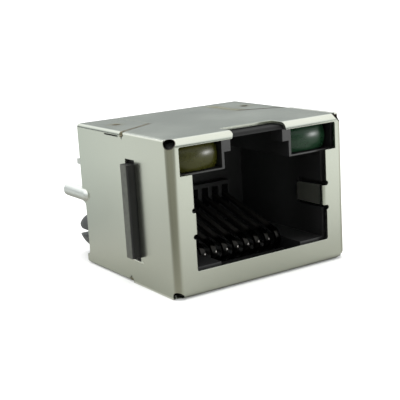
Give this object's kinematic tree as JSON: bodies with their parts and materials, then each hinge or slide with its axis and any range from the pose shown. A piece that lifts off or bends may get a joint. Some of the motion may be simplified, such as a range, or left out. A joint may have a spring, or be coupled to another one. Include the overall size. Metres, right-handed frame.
{
  "type": "board jack",
  "caption": "Shielded vertical board jack for a modular network plug, with spring contacts, two indicator lamps, split board pegs and solder legs.",
  "frame": {"origin": "centre of the board face, on the plane where the stand-offs meet the board", "axes": "+Y out of the board face into the board, -Y towards the plug, +Z towards the latch side, +X right seen from the plug"},
  "size_m": [0.0172, 0.0172, 0.0116],
  "materials": {
    "shield_metal": "bright satin plating",
    "housing_plastic": "fine moulded",
    "carrier_plastic": "fine moulded",
    "contact_metal": "thin gold plating",
    "lamp_yellow": "tinted cast epoxy",
    "lamp_green": "tinted cast epoxy",
    "lead_metal": "tin plating"
  },
  "bodies": {
    "root": {"shield": "shield_metal", "housing": "housing_plastic", "contact_carrier": "carrier_plastic", "contact_1": "contact_metal", "contact_2": "contact_metal", "contact_3": "contact_metal", "contact_4": "contact_metal", "contact_5": "contact_metal", "contact_6": "contact_metal", "contact_7": "contact_metal", "contact_8": "contact_metal", "led_left": "lamp_yellow", "led_right": "lamp_green", "led_left_lead_inner": "lead_metal", "led_left_lead_outer": "lead_metal", "led_right_lead_inner": "lead_metal", "led_right_lead_outer": "lead_metal"}
  },
  "joints": []
}
